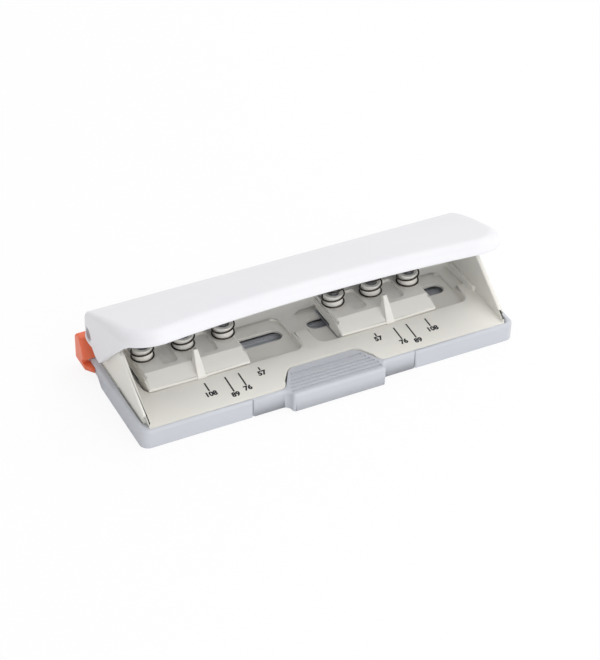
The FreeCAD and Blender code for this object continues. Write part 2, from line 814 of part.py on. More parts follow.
def head_block(centre):
    foot = deck_land_height + slide_gap
    rear = pocket_rear - slide_gap
    lead = head_front + head_flange_set
    step = head_front + head_cap_depth - joint_lap
    flange = side_prism([(lead, foot), (lead, head_flange_lead), (step, head_flange_lead),
                         (step, head_flange_height), (rear, head_flange_height),
                         (rear, wall_foot), (head_spine_rear, wall_foot), (head_spine_rear, paper_height),
                         (pocket_front + slide_gap, paper_height), (pocket_front + slide_gap, foot)],
                        centre - head_half, centre + head_half)
    solids = [head_body(centre), flange, head_cap(centre), head_pointer(centre)]
    pins = [centre + step * hole_pitch for step in (-1, 0, 1)]
    for x in pins:
        boss = post(x, pin_line, head_height - cut_past, boss_height, boss_radius)
        top = [e for e in boss.Edges if e.BoundBox.ZMin > boss_height - 0.01]
        solids.append(boss.makeFillet(boss_edge_round, top))
    body = joined(solids)
    recess_floor = head_height - head_recess_depth
    cuts = []
    for x in (centre - hole_pitch / 2, centre + hole_pitch / 2):
        recess = rounded_plan(x - head_recess_width / 2, x + head_recess_width / 2,
                              pin_line - head_recess_set, pin_line + head_recess_back, head_recess_corner,
                              recess_floor, boss_height)
        bottom = [e for e in recess.Edges if e.BoundBox.ZMax < recess_floor + 0.01]
        cuts.append(recess.makeFillet(head_recess_round, bottom))
    for x in pins:
        cuts.append(post(x, pin_line, 0, boss_height + cut_past, pin_radius + running_gap))
    for x in (centre - clamp_screw_x, centre + clamp_screw_x):
        cuts.append(post(x, clamp_screw_y, 0, paper_height + clamp_bore_depth, small_shank + thread_gap))
    around = block(centre - head_half - cut_past, centre + head_half + cut_past, head_front, pocket_rear,
                   paper_height - cut_past, foot)
    sunk = rounded_plan(centre - head_half, centre + head_half, pocket_front + slide_gap, rear,
                        pocket_corner - slide_gap, paper_height - cut_past, foot)
    return body.cut(Part.makeCompound(cuts)).cut(around.cut(sunk))


def die_plate(centre):
    plate = rounded_plan(centre - head_half, centre + head_half, pocket_front + slide_gap,
                         pocket_rear - slide_gap, pocket_corner - slide_gap, die_bottom, paper_height)
    over = paper_height + cut_past
    cuts = [post(centre + step * hole_pitch, pin_line, 0, over, pin_radius + die_clearance)
            for step in (-1, 0, 1)]
    for x in (centre - clamp_screw_x, centre + clamp_screw_x):
        cuts.append(post(x, clamp_screw_y, 0, over, small_shank + screw_hole_gap))
        cuts.append(post(x, clamp_screw_y, 0, die_bottom + small_head_height + head_sink,
                         small_head + screw_hole_gap))
    for x in (centre - hole_pitch / 2, centre + hole_pitch / 2):
        cuts.append(post(x, pin_line, 0, over, glide_shank + thread_gap))
    return plate.cut(Part.makeCompound(cuts))


def clamp_screws(centre):
    return Part.makeCompound([headed_screw(x, clamp_screw_y, die_bottom + head_sink, small_shank,
                                           small_head, small_head_height, clamp_screw_length)
                              for x in (centre - clamp_screw_x, centre + clamp_screw_x)])


def glide_screws(centre):
    """Shouldered screws that hang in the slot and hold the head down from below the floor."""
    top = pocket_floor_height - pocket_floor - slide_gap
    screws = []
    for x in (centre - hole_pitch / 2, centre + hole_pitch / 2):
        screws.append(joined([post(x, pin_line, top - glide_head_height, top, glide_head),
                              post(x, pin_line, top - glide_head_height, paper_height, glide_shank)]))
    return Part.makeCompound(screws)


flange_top = pin_top_rest - pin_dome_height
flange_bottom = flange_top - pin_flange_thickness


def punch_pin(x):
    shaft = post(x, pin_line, pin_tip_rest, flange_bottom, pin_radius)
    hollow = Part.makeCone(pin_radius - pin_tip_wall, pin_tip_centre, pin_tip_hollow,
                           Vector(x, pin_line, pin_tip_rest))
    flange = post(x, pin_line, flange_bottom, flange_top, pin_flange_radius)
    dome = Part.makeCone(pin_dome_radius, pin_dome_top, pin_dome_height, Vector(x, pin_line, flange_top))
    return joined([shaft.cut(hollow), flange, dome])


def arc_from_tangent(start, tangent, end):
    """Arc that leaves start along tangent and ends at end, as an edge."""
    chord = end - start
    along = chord.dot(tangent)
    half_angle = math.acos(max(-1.0, min(1.0, along / chord.Length)))
    if half_angle < 1e-6:
        return Part.LineSegment(start, end).toShape()
    side = (chord - tangent * along).normalize()
    radius = chord.Length / (2 * math.sin(half_angle))
    rise = radius * (1 - math.cos(half_angle))
    through = start + tangent * (radius * math.sin(half_angle)) + side * rise
    return Part.Arc(start, through, end).toShape()


def biarc(start, start_way, end, end_way):
    """Two tangent arcs from start to end that leave and arrive along the given ways."""
    gap = end - start
    ways = start_way + end_way
    a = 2 * (1 - start_way.dot(end_way))
    b = 2 * gap.dot(ways)
    c = -gap.dot(gap)
    if abs(a) < 1e-9:
        reach = -c / b
    else:
        reach = (-b + math.sqrt(b * b - 4 * a * c)) / (2 * a)
    meet = (start + start_way * reach + end - end_way * reach) * 0.5
    first = arc_from_tangent(start, start_way, meet)
    second = arc_from_tangent(end, end_way * -1, meet)
    return [first, second]


def spring_path(x):
    """Wire line of one return spring, from the head's top to the pin's flange."""
    tail = spring_wire + spring_tail_bend
    low = head_height + tail
    high = flange_bottom - tail
    steps = round(spring_turns * 4)
    turn = spring_turns * 2 * math.pi
    rise = (high - low) / turn
    slope = math.hypot(spring_radius, rise)

    def point(angle):
        return Vector(x + spring_radius * math.cos(angle), pin_line + spring_radius * math.sin(angle),
                      low + rise * angle)

    def way(angle):
        return Vector(-spring_radius * math.sin(angle) / slope, spring_radius * math.cos(angle) / slope,
                      rise / slope)

    edges = []
    start_bend = point(0) + Vector(0, -spring_tail_bend, -spring_tail_bend)
    edges.append(Part.LineSegment(start_bend - Vector(0, 0, spring_wire), start_bend).toShape())
    edges += biarc(start_bend, Vector(0, 0, 1), point(0), way(0))
    for step in range(steps):
        a, b = turn * step / steps, turn * (step + 1) / steps
        edges += biarc(point(a), way(a), point(b), way(b))
    level = Vector(way(turn).x, way(turn).y, 0).normalize()
    end_bend = point(turn) + level * spring_tail_bend + Vector(0, 0, spring_tail_bend)
    edges += biarc(point(turn), way(turn), end_bend, Vector(0, 0, 1))
    edges.append(Part.LineSegment(end_bend, end_bend + Vector(0, 0, spring_wire)).toShape())
    return edges


def least_gap(path):
    """Least clear gap of the wire to itself, from points close together along its middle line."""
    count = 400
    spacing = path.Length / (count - 1)
    points = path.discretize(Number=count)
    gap = path.Length
    for i, point in enumerate(points):
        for other in points[i + round(4 * spring_wire / spacing):]:
            gap = min(gap, point.distanceToPoint(other) - spring_wire)
    return gap


def pin_spring(x):
    edges = spring_path(x)
    path = Part.Wire(edges)
    start = edges[0].valueAt(edges[0].FirstParameter)
    section = Part.Wire(Part.makeCircle(spring_wire / 2, start, Vector(0, 0, 1)))
    coil = path.makePipeShell([section], True, False)
    expected = math.pi * spring_wire ** 2 / 4 * sum(e.Length for e in edges)
    print("spring: gap", round(least_gap(path), 2), "volume ratio", round(coil.Volume / expected, 3))
    return coil


opening_x = pad_front_width / 2 + slide_gap - opening_draw
corner_x = opening_x + opening_corner
corner_y = front_wall + panel_gap + opening_corner


def pad_opening():
    """Plan of the deck's opening for the pull pad, with a round corner on each side of its mouth."""
    bend = opening_corner * math.sqrt(0.5)
    mouth = front_wall + panel_gap
    rear = pad_rear_width / 2 + slide_gap
    crown = pad_crown_width / 2 + slide_gap
    rear_y = pad_rear_y + slide_gap
    crown_y = pad_crown_y + slide_gap
    return [(-corner_x, mouth - front_wall), (-corner_x, mouth),
            ((-corner_x + bend, corner_y - bend), (-opening_x, corner_y)), (-rear, rear_y),
            (-crown, crown_y), (crown, crown_y), (rear, rear_y), (opening_x, corner_y),
            ((corner_x - bend, corner_y - bend), (corner_x, mouth)), (corner_x, mouth - front_wall)]


def pad_web(low, high):
    """Web that fills the drawer's corner between its front and the side of the pad."""
    radius = opening_corner + slide_gap
    end = math.radians(35)
    middle = math.radians(62.5)
    inside = -pad_front_width / 2 + pad_web_lap
    tip_y = corner_y - radius * math.sin(end)
    return plan_prism([(-corner_x, front_wall - joint_lap), (-corner_x, corner_y - radius),
                       ((-corner_x + radius * math.cos(middle), corner_y - radius * math.sin(middle)),
                        (-corner_x + radius * math.cos(end), tip_y)),
                       (inside, tip_y), (inside, front_wall - joint_lap)], low, high)


def drawer_front():
    """Front of the drawer: a panel between the front bands, with the pull pad's nose and plate."""
    half = drawer_width / 2 - slide_gap
    top = rim_front_height
    wide = pad_front_width / 2
    neck = pad_neck_round
    turn = neck * arc_share
    nose_round = pad_front_round
    bend = nose_round * arc_share
    panel = block(-half, half, 0, front_wall, drawer_lift, top)
    nose = plan_prism([(-wide - neck, front_wall), (-wide - neck, 0), ((-wide - turn, -turn), (-wide, -neck)),
                       (-wide, -pad_reach + nose_round),
                       ((-wide + bend, -pad_reach + bend), (-wide + nose_round, -pad_reach)),
                       (wide - nose_round, -pad_reach),
                       ((wide - bend, -pad_reach + bend), (wide, -pad_reach + nose_round)), (wide, -neck),
                       ((wide + turn, -turn), (wide + neck, 0)), (wide + neck, front_wall)], drawer_lift, top)
    rear = pad_rear_width / 2
    crown = pad_crown_width / 2
    plate = plan_prism([(-wide, 0), (-wide + pad_lean, pad_shoulder_y), (-rear, pad_rear_y),
                        (-crown, pad_crown_y), (crown, pad_crown_y), (rear, pad_rear_y),
                        (wide - pad_lean, pad_shoulder_y), (wide, 0)], top - pad_plate, top)
    body = joined([panel, nose, plate] + both_sides(pad_web(top - pad_plate, top)))
    rim = [e for e in body.Edges if e.BoundBox.ZMin > top - 0.01 and e.BoundBox.YMax < 0.01]
    body = body.makeFillet(pad_edge_round, rim)
    bend = door_round * arc_share
    end_cut = plan_prism([(half + cut_past, -cut_past), (half + cut_past, door_round), (half, door_round),
                          ((half - bend, bend), (half - door_round, 0)), (half - door_round, -cut_past)],
                         0, top + cut_past)
    grooves = both_sides(end_cut)
    for i in range(pad_grooves):
        y = pad_groove_start + i * pad_groove_pitch
        reach = min(wide - pad_border, pad_field_half + (pad_field_rear - y) * pad_field_flare)
        grooves.append(block(-reach, reach, y, y + pad_groove_width, top - pad_groove_depth, top + cut_past))
    return body.cut(Part.makeCompound(grooves))


def chip_drawer():
    half = drawer_width / 2 - runner_lap - slide_gap
    bottom = base_floor + drawer_lift
    tray = block(-half, half, front_wall - joint_lap, drawer_depth, bottom, drawer_height)
    hollow = block(-half + drawer_wall, half - drawer_wall, front_wall + drawer_wall,
                   drawer_depth - drawer_wall, bottom + drawer_floor, drawer_height + cut_past)
    return joined([drawer_front(), tray.cut(hollow)])


def paper_guide():
    """End stop whose jaws lie above and below the base's rim, on a bar that slides in the base."""
    outer = -guide_reach
    beside = -half_base - slide_gap
    rear = base_depth + slide_gap + guide_spine
    above = rim_rear_height + slide_gap
    behind = base_depth + slide_gap
    profile = [(guide_front, guide_foot_height), (guide_front, guide_jaw_height),
               ((guide_front + guide_grip, (guide_jaw_height + above) / 2), (guide_rim_front, above)),
               (base_depth - guide_top_lap, guide_top_height), (rear - guide_bevel, guide_top_height),
               (rear, guide_top_height - guide_bevel), (rear, guide_foot_height)]
    stop = side_prism(profile, outer, -guide_stop_x)
    rim_room = block(beside, 0, guide_front - cut_past, behind, guide_foot_height - cut_past, above)
    foot = plan_prism([(outer, guide_front - slide_gap), (outer, guide_front + guide_foot_depth),
                       (beside, guide_front + guide_foot_depth), (beside, base_depth - guide_nose_lap)],
                      guide_foot_height, guide_jaw_height)
    bar = block(beside - cut_past, -guide_bar_end, guide_bar_front, guide_bar_front + guide_bar_width,
                guide_bar_bottom, guide_bar_bottom + guide_bar_height)
    return joined([stop.cut(rim_room), foot, bar])


pieces = {
    "base_tray": base_tray(),
    "rubber_feet": rubber_feet(),
    "case_screws": case_screws(),
    "deck_frame": deck_frame(),
    "hinge_rod": hinge_rod(),
    "rod_rings": rod_rings(),
    "handle_shell": handle_shell(),
    "press_plate": press_plate(),
    "plate_screws": plate_screws(),
    "chip_drawer": chip_drawer(),
    "paper_guide": paper_guide(),
}
for side, centre, away in (("left", -left_head_at, -1), ("right", right_head_at, 1)):
    pieces[side + "_head_block"] = head_block(centre)
    pieces[side + "_die_plate"] = die_plate(centre)
    pieces[side + "_clamp_screws"] = clamp_screws(centre)
    pieces[side + "_glide_screws"] = glide_screws(centre)
    for place, step in (("outer", 1), ("middle", 0), ("inner", -1)):
        x = centre + away * step * hole_pitch
        pieces[side + "_pin_" + place] = punch_pin(x)
        pieces[side + "_spring_" + place] = pin_spring(x)

os.makedirs("parts", exist_ok=True)
for node, shape in pieces.items():
    shape = shape.copy()
    shape.translate(Vector(0, -base_depth / 2, 0))
    shape.exportStep("parts/" + node + ".step")
    print(node, len(shape.Solids), shape.isValid(), round(shape.Volume, 1))
print("pin stroke", round(pin_stroke, 3), "guide travel", round(guide_travel, 2))
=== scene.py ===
import math

import bmesh
import bpy
from mathutils import Matrix, Vector


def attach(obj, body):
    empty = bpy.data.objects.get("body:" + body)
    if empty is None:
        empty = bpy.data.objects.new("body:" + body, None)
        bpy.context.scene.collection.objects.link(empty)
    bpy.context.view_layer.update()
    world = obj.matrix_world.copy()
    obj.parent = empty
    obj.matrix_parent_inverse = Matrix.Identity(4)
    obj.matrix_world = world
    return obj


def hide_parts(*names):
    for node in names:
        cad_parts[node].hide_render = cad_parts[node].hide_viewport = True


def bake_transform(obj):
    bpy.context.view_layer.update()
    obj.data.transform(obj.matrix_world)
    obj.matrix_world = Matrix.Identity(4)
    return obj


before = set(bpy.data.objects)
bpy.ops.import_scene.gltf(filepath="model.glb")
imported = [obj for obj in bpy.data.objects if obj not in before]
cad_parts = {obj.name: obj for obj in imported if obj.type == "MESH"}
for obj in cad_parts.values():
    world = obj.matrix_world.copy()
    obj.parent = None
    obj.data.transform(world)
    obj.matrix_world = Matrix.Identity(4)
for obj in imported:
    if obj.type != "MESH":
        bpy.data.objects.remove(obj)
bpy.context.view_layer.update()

# Base tray: the grey ABS tub that stands on the desk, injection moulded in one shot with its
# rounded rim and the two front bands beside the drawer. The fine texture of the mould leaves
# a soft, even gloss with no sharp reflections.
MM = 0.001
BENCH_Y = 31.4          # every y below is counted from the front face of the base, at -31.4
BASE_GREY = "#c9ccd2"
BASE_SHADE = "#c4c7ce"
PLASTIC_IOR = 1.53
FLOW_MM = 38            # size of the faint clouds that the melt leaves as it flows
GLOSS_SPREAD = 0.03
WELD_GAP = 0.002
FLAT_ANGLE = 0.5
SMOOTH_ANGLE = 38


def linear(code):
    """Linear colour of an sRGB hex value."""
    parts = [int(code[i:i + 2], 16) / 255 for i in (1, 3, 5)]
    return [((c + 0.055) / 1.055) ** 2.4 if c > 0.04045 else c / 12.92 for c in parts] + [1.0]


def add_node(tree, kind, sockets, **settings):
    """Adds a node, sets its properties, and fills its sockets with values or links."""
    node = tree.nodes.new("ShaderNode" + kind)
    for name, value in settings.items():
        setattr(node, name, value)
    for name, value in sockets.items():
        if isinstance(value, bpy.types.NodeSocket):
            tree.links.new(value, node.inputs[name])
        else:
            node.inputs[name].default_value = value
    return node


def moulded_plastic(name, colour, shade, rough, grain, relief):
    """Injection moulded plastic: a nearly even colour, a gloss that varies a little over a few
    centimetres, and the grain of the mould. Grain and relief are in millimetres. The real grain,
    about a tenth of a millimetre, is too fine to show here, so it is drawn coarser."""
    material = bpy.data.materials.new(name)
    material.use_nodes = True
    tree = material.node_tree
    shader = tree.nodes["Principled BSDF"]
    place = add_node(tree, "TexCoord", {}).outputs["Object"]
    flow = add_node(tree, "TexNoise", {"Vector": place, "Scale": 1 / (FLOW_MM * MM), "Detail": 2.0,
                                       "Roughness": 0.4})
    colours = add_node(tree, "Mix", {"Factor": flow.outputs["Fac"], "A": linear(colour),
                                     "B": linear(shade)}, data_type="RGBA")
    tree.links.new(colours.outputs["Result"], shader.inputs["Base Color"])
    spark = add_node(tree, "TexNoise", {"Vector": place, "Scale": 1 / (grain * MM), "Detail": 3.0,
                                        "Roughness": 0.55})
    gloss = add_node(tree, "MapRange", {"Value": flow.outputs["Fac"], "From Min": 0.3, "From Max": 0.7,
                                        "To Min": rough - GLOSS_SPREAD, "To Max": rough + GLOSS_SPREAD})
    tree.links.new(gloss.outputs["Result"], shader.inputs["Roughness"])
    bump = add_node(tree, "Bump", {"Strength": 0.2, "Distance": relief * MM,
                                   "Height": spark.outputs["Fac"]})
    tree.links.new(bump.outputs["Normal"], shader.inputs["Normal"])
    shader.inputs["IOR"].default_value = PLASTIC_IOR
    return material


def bench(point):
    """Place of a mesh point in millimetres, with y counted from the front face of the base."""
    return Vector((point.x / MM, point.y / MM + BENCH_Y, point.z / MM))


def sharp_edges(mesh, angle, wanted):
    """Convex edges sharper than angle, where the test accepts their middle and their two ends."""
    found = []
    for edge in mesh.edges:
        if len(edge.link_faces) == 2 and edge.is_convex and edge.calc_face_angle(0) > math.radians(angle):
            first, last = (corner.co for corner in edge.verts)
            if wanted(bench((first + last) / 2), [bench(first), bench(last)]):
                found.append(edge)
    return found


def finish_mesh(mesh, name, material, body):
    """Makes a shaded object of a bmesh; it rides on the body, if one is named."""
    data = bpy.data.meshes.new(name)
    mesh.to_mesh(data)
    mesh.free()
    for face in data.polygons:
        face.use_smooth = True
    data.set_sharp_from_angle(angle=math.radians(SMOOTH_ANGLE))
    data.materials.append(material)
    piece = bpy.data.objects.new(name, data)
    bpy.context.scene.collection.objects.link(piece)
    if body:
        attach(piece, body)
    return piece


def eased_copy(node, name, material, body, easings):
    """Copy of a moulded CAD piece with its edges rounded as the mould rounds them. Each easing is
    a radius, its number of segments, the least angle of its edges, and the test that picks them."""
    mesh = bmesh.new()
    mesh.from_mesh(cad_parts[node].data)
    bmesh.ops.remove_doubles(mesh, verts=mesh.verts, dist=WELD_GAP * MM)
    bmesh.ops.dissolve_limit(mesh, angle_limit=math.radians(FLAT_ANGLE), verts=mesh.verts,
                             edges=mesh.edges)
    for radius, segments, angle, wanted in easings:
        bmesh.ops.bevel(mesh, geom=sharp_edges(mesh, angle, wanted), offset=radius * MM,
                        offset_type="OFFSET", segments=segments, profile=0.5, affect="EDGES",
                        clamp_overlap=False, material=-1)
    piece = finish_mesh(mesh, name, material, body)
    piece.modifiers.new("even shading", "WEIGHTED_NORMAL").keep_sharp = True
    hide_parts(node)


grey_abs = moulded_plastic("Grey moulded ABS", BASE_GREY, BASE_SHADE, rough=0.42, grain=0.7, relief=0.010)
eased_copy("base_tray", "tray_shell", grey_abs, "base", [])

# Rubber feet: four pads of soft black rubber, pressed into sockets under the tray. Rubber
# takes hardly any shine, and it greys a little where it rubs on the desk.
RUBBER_BLACK = "#1d1d1f"
RUBBER_WORN = "#2a2a2c"


def dress(node, material):
    """Gives a CAD node its finished material."""
    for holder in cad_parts[node].material_slots:
        holder.material = material


soft_rubber = moulded_plastic("Matt black rubber", RUBBER_BLACK, RUBBER_WORN, rough=0.8, grain=0.9,
                              relief=0.03)
dress("rubber_feet", soft_rubber)

# Screws, rings, dies and the press plate: steel with a bright zinc plating, a little cloudy
# from the bath. Handling has left scratches, drawn wider than real ones so that they show.
ZINC = "#b9bbbf"
ZINC_CLOUD = "#a3a6ac"
CLOUD_MM = 4
SCRATCH_DEPTH = 0.006


def plated_steel(name, colour, cloud, rough, scratch, direction):
    """Plated or drawn steel: bright metal, cloudy patches, and fine lines of the given width in
    millimetres along the axis in which direction is small."""
    material = bpy.data.materials.new(name)
    material.use_nodes = True
    tree = material.node_tree
    shader = tree.nodes["Principled BSDF"]
    place = add_node(tree, "TexCoord", {}).outputs["Object"]
    stretched = add_node(tree, "Mapping", {"Vector": place, "Scale": direction})
    lines = add_node(tree, "TexNoise", {"Vector": stretched.outputs["Vector"],
                                        "Scale": 1 / (scratch * MM), "Detail": 2.0})
    patches = add_node(tree, "TexNoise", {"Vector": place, "Scale": 1 / (CLOUD_MM * MM), "Detail": 3.0})
    colours = add_node(tree, "Mix", {"Factor": patches.outputs["Fac"], "A": linear(colour),
                                     "B": linear(cloud)}, data_type="RGBA")
    tree.links.new(colours.outputs["Result"], shader.inputs["Base Color"])
    gloss = add_node(tree, "MapRange", {"Value": lines.outputs["Fac"], "From Min": 0.3, "From Max": 0.7,
                                        "To Min": rough - 0.08, "To Max": rough + 0.1})
    tree.links.new(gloss.outputs["Result"], shader.inputs["Roughness"])
    bump = add_node(tree, "Bump", {"Strength": 0.3, "Distance": SCRATCH_DEPTH * MM,
                                   "Height": lines.outputs["Fac"]})
    tree.links.new(bump.outputs["Normal"], shader.inputs["Normal"])
    shader.inputs["Metallic"].default_value = 1.0
    return material


zinc_plate = plated_steel("Zinc plated steel", ZINC, ZINC_CLOUD, rough=0.34, scratch=0.18,
                          direction=(0.15, 1.0, 1.0))
for node in ("case_screws", "rod_rings", "press_plate", "plate_screws", "left_die_plate", "right_die_plate",
             "left_clamp_screws", "right_clamp_screws", "left_glide_screws", "right_glide_screws"):
    dress(node, zinc_plate)

# Deck frame: one ivory ABS moulding, screwed to the tray, with two sunk pockets, the long
# slots, the side walls and the low ledges beside them. The mould leaves a soft gloss and
# small rounded edges, rounder on the walls than at the slots.
DECK_IVORY = "#eeece5"
DECK_SHADE = "#ebe9e1"
LAND_HEIGHT = 10.3
LAND_CLEAR = 0.3
POCKET_FLOOR_HEIGHT = 6.8
LEVEL_SLACK = 0.05
LEDGE_ROUND = 0.5
LEDGE_REACH = (83.6, 85.25)
WALL_ROUND = 0.6
WALL_REACH = (85.2, 87.4)
SLOT_ROUND = 0.35
PIN_LINE_Y = 40.2       # the slots and all six pins stand on this line
SLOT_HALF_WIDTH = 4.2
SLOT_START_X = 5

ivory_abs = moulded_plastic("Ivory moulded ABS", DECK_IVORY, DECK_SHADE, rough=0.42, grain=0.8, relief=0.010)


def stands_between(middle, ends, reach):
    """True for an edge above the land with both ends between two distances from the centre."""
    across = sorted(abs(end.x) for end in ends)
    return middle.z > LAND_HEIGHT + LAND_CLEAR and across[0] > reach[0] and across[1] < reach[1]


def ledge_edge(middle, ends):
    return stands_between(middle, ends, LEDGE_REACH)


def wall_edge(middle, ends):
    return stands_between(middle, ends, WALL_REACH)


def slot_rim(middle, ends):
    return (abs(middle.z - POCKET_FLOOR_HEIGHT) < LEVEL_SLACK
            and abs(middle.y - PIN_LINE_Y) < SLOT_HALF_WIDTH and abs(middle.x) > SLOT_START_X)


eased_copy("deck_frame", "deck_moulding", ivory_abs, "base", [
    (LEDGE_ROUND, 3, 40, ledge_edge),
    (WALL_ROUND, 4, 30, wall_edge),
    (SLOT_ROUND, 2, 60, slot_rim),
])

# Setting marks: black lines and plain numbers, screen printed in flat ink on the sloping
# front of the deck. Each line stands at half the distance between the middles of the two
# hole groups, and its number says that distance.
INK = "#17171a"
INK_EDGE = "#222226"
MARK_LIFT = 0.02
LINE_WIDTH = 0.72
LINE_BACK_Y = 18.3
SLOPE_FRONT = (1.5, 8.83)       # y and height of the slope's two ends
SLOPE_BACK = (17.9, 10.3)
NUMBER_HEIGHT = 2.6
STROKE_GAIN = 0.2
FONT_RATIO = 1.4
# x of the line, y of its front end, number, y of the number
MARKS = ((54.0, 13.0, "108", 11.0), (44.4, 8.6, "89", 6.8), (38.0, 10.2, "76", 8.4), (28.5, 16.2, "57", 14.4))


def deck_top(y):
    """Height of the deck's printed face at y."""
    share = min(max((y - SLOPE_FRONT[0]) / (SLOPE_BACK[0] - SLOPE_FRONT[0]), 0), 1)
    return SLOPE_FRONT[1] + share * (SLOPE_BACK[1] - SLOPE_FRONT[1]) + MARK_LIFT


def row_point(x, y, z):
    """Bench millimetres to metres in the part's frame."""
    return Vector((x * MM, (y - BENCH_Y) * MM, z * MM))


def print_bar(mesh, x, front, back):
    """A flat bar of ink on the deck, from front to back, made of a one-face grid."""
    start, end = (row_point(x, y, deck_top(y)) for y in (front, back))
    tilt = math.atan2(end.z - start.z, end.y - start.y)
    bmesh.ops.create_grid(mesh, x_segments=1, y_segments=1, size=0.5,
                          matrix=Matrix.Translation((start + end) / 2) @ Matrix.Rotation(tilt, 4, "X")
                          @ Matrix.Diagonal((LINE_WIDTH * MM, (end - start).length, 1, 1)))


def print_number(mesh, number, x, y, tilt):
    """The number's outline as flat faces, laid on the slope."""
    letters = bpy.data.curves.new("number", "FONT")
    letters.body = number
    letters.size = NUMBER_HEIGHT * MM * FONT_RATIO
    letters.offset = STROKE_GAIN * MM
    letters.align_x = "CENTER"
    letters.align_y = "CENTER"
    letters.resolution_u = 3
    holder = bpy.data.objects.new("number", letters)
    flat = bpy.data.meshes.new_from_object(holder)
    flat.transform(Matrix.Translation(row_point(x, y, deck_top(y))) @ Matrix.Rotation(tilt, 4, "X"))
    mesh.from_mesh(flat)
    bpy.data.objects.remove(holder)
    bpy.data.curves.remove(letters)
    bpy.data.meshes.remove(flat)


screen_ink = moulded_plastic("Black screen ink", INK, INK_EDGE, rough=0.5, grain=0.4, relief=0.004)
slope = math.atan2(SLOPE_BACK[1] - SLOPE_FRONT[1], SLOPE_BACK[0] - SLOPE_FRONT[0])
for side, sign in (("left", -1), ("right", 1)):
    printed = bmesh.new()
    for x, front, number, number_y in MARKS:
        print_bar(printed, sign * x, front, SLOPE_BACK[0])
        print_bar(printed, sign * x, SLOPE_BACK[0], LINE_BACK_Y)
        print_number(printed, number, sign * x, number_y, slope)
    finish_mesh(printed, side + "_setting_marks", screen_ink, "base")

# Hinge rod: a drawn steel bar on which the handle turns, held by a ring at each end. Drawing
# leaves it bright, with fine lines along its length.
ROD_STEEL = "#a9abb0"
ROD_DARK = "#8d9096"
drawn_steel = plated_steel("Drawn bright steel", ROD_STEEL, ROD_DARK, rough=0.42, scratch=0.12,
                           direction=(0.1, 1.0, 1.0))
dress("hinge_rod", drawn_steel)

# Press handle: a wide white ABS shell that hinges on the rod. The mould is polished, so that
# it shines softly in broad, blurred lights, and its free edges are rounded.
HANDLE_WHITE = "#ededf0"
HANDLE_SHADE = "#eaeaee"
HANDLE_RIM_ROUND = 0.6
CHEEK_START_X = 86.5
LIP_END_Y = 18
CREST_START_Z = 44
white_abs = moulded_plastic("White polished ABS", HANDLE_WHITE, HANDLE_SHADE, rough=0.42, grain=1.6,
                            relief=0.006)


def handle_rim(middle, ends):
    return abs(middle.x) > CHEEK_START_X or middle.y < LIP_END_Y or middle.z > CREST_START_Z


eased_copy("handle_shell", "press_handle", white_abs, "handle", [
    (HANDLE_RIM_ROUND, 3, 55, handle_rim),
])

# Punch heads: two blocks of warm white ABS that slide in the pockets. Each has a sloping
# front, a pointer rib that reads against the marks, and round guides for its three pins.
# Their mould gives the same soft gloss as the deck's.
HEAD_WHITE = "#efede7"
HEAD_SHADE = "#eceae3"
head_abs = moulded_plastic("Ivory white moulded ABS", HEAD_WHITE, HEAD_SHADE, rough=0.42, grain=0.8,
                           relief=0.010)
for side in ("left", "right"):
    eased_copy(side + "_head_block", side + "_punch_head", head_abs, side + "_head", [])

# Punch pins: hardened steel rods with a flange and a small dome that the press plate pushes.
# They are ground bright, with fine lines along them, and darken a little with oil.
PIN_STEEL = "#86888d"
PIN_DARK = "#5f6166"
PIN_PLACES = ("outer", "middle", "inner")
ground_steel = plated_steel("Ground pin steel", PIN_STEEL, PIN_DARK, rough=0.28, scratch=0.15,
                            direction=(1.0, 1.0, 0.1))
for side in ("left", "right"):
    for place in PIN_PLACES:
        dress(side + "_pin_" + place, ground_steel)

# Return springs: dark oiled steel wire wound round each pin between the head and the pin's
# flange, with closed end turns. The oil leaves a narrow dull shine along the wire.
SPRING_DARK = "#3a3531"
SPRING_LIGHT = "#544c45"
WIRE_RADIUS = 0.36
COIL_RADIUS = 4.95
SPRING_FOOT = 15.4
SPRING_HEAD = 29.6
SEAT_GAP = 0.02
TURN_GAP = 0.12
END_TURNS = 1.1
ACTIVE_TURNS = 2.3
STEPS_PER_TURN = 28
WIRE_SIDES = 10
PIN_PITCH = 19.0
HEAD_MIDDLES = (("left", -54.0, -1), ("right", 38.0, 1))        # side, x, way outwards
spring_wire = plated_steel("Dark oiled spring wire", SPRING_DARK, SPRING_LIGHT, rough=0.30, scratch=0.2,
                           direction=(1.0, 1.0, 0.3))


